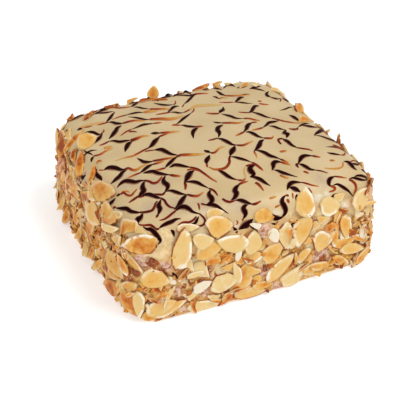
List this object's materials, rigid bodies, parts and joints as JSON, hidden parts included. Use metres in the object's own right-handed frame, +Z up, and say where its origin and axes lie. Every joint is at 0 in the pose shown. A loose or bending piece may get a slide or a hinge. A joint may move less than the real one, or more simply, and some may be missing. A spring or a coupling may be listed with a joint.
{
  "type": "esterhazy torte",
  "caption": "Square layer torte with a smooth pale glaze feathered with dark chocolate and sides coated in sliced almonds.",
  "frame": {"origin": "middle of the flat base, on the surface that the cake stands on", "axes": "+Z up, -Y out of the long front side, +X to the right along that side"},
  "size_m": [0.1658, 0.1628, 0.064],
  "materials": {
    "almond_coat": "toasted sliced almonds on pale nut cream, matte",
    "glaze": "smooth set cream-coloured glaze, satin",
    "chocolate": "dark chocolate lines drawn into the glaze, glossy"
  },
  "bodies": {
    "root": {"cake": "almond_coat", "icing": "glaze"}
  },
  "joints": []
}
